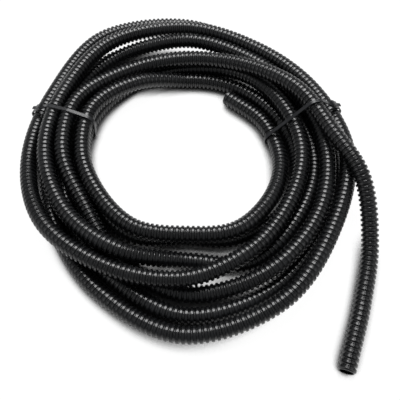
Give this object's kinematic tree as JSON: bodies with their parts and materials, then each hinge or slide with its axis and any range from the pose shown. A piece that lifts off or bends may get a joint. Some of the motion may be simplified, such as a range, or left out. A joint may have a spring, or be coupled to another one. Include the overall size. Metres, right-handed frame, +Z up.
{
  "type": "corrugated conduit coil",
  "caption": "Black corrugated flexible conduit in a loose hand-wound coil, tied with two cable ties, one free end led out beside the coil.",
  "frame": {"origin": "centre of the whole object's box, on the floor it lies on", "axes": "+Z up out of the coil's plane, +Y towards the far side of the coil, +X to the side where the free end is led out"},
  "size_m": [0.341, 0.3993, 0.0554],
  "materials": {
    "conduit_plastic": "black extruded plastic, semi-gloss",
    "tie_plastic": "black moulded nylon, satin"
  },
  "bodies": {
    "root": {"conduit": "conduit_plastic", "tie_left": "tie_plastic", "tie_right": "tie_plastic"}
  },
  "joints": []
}
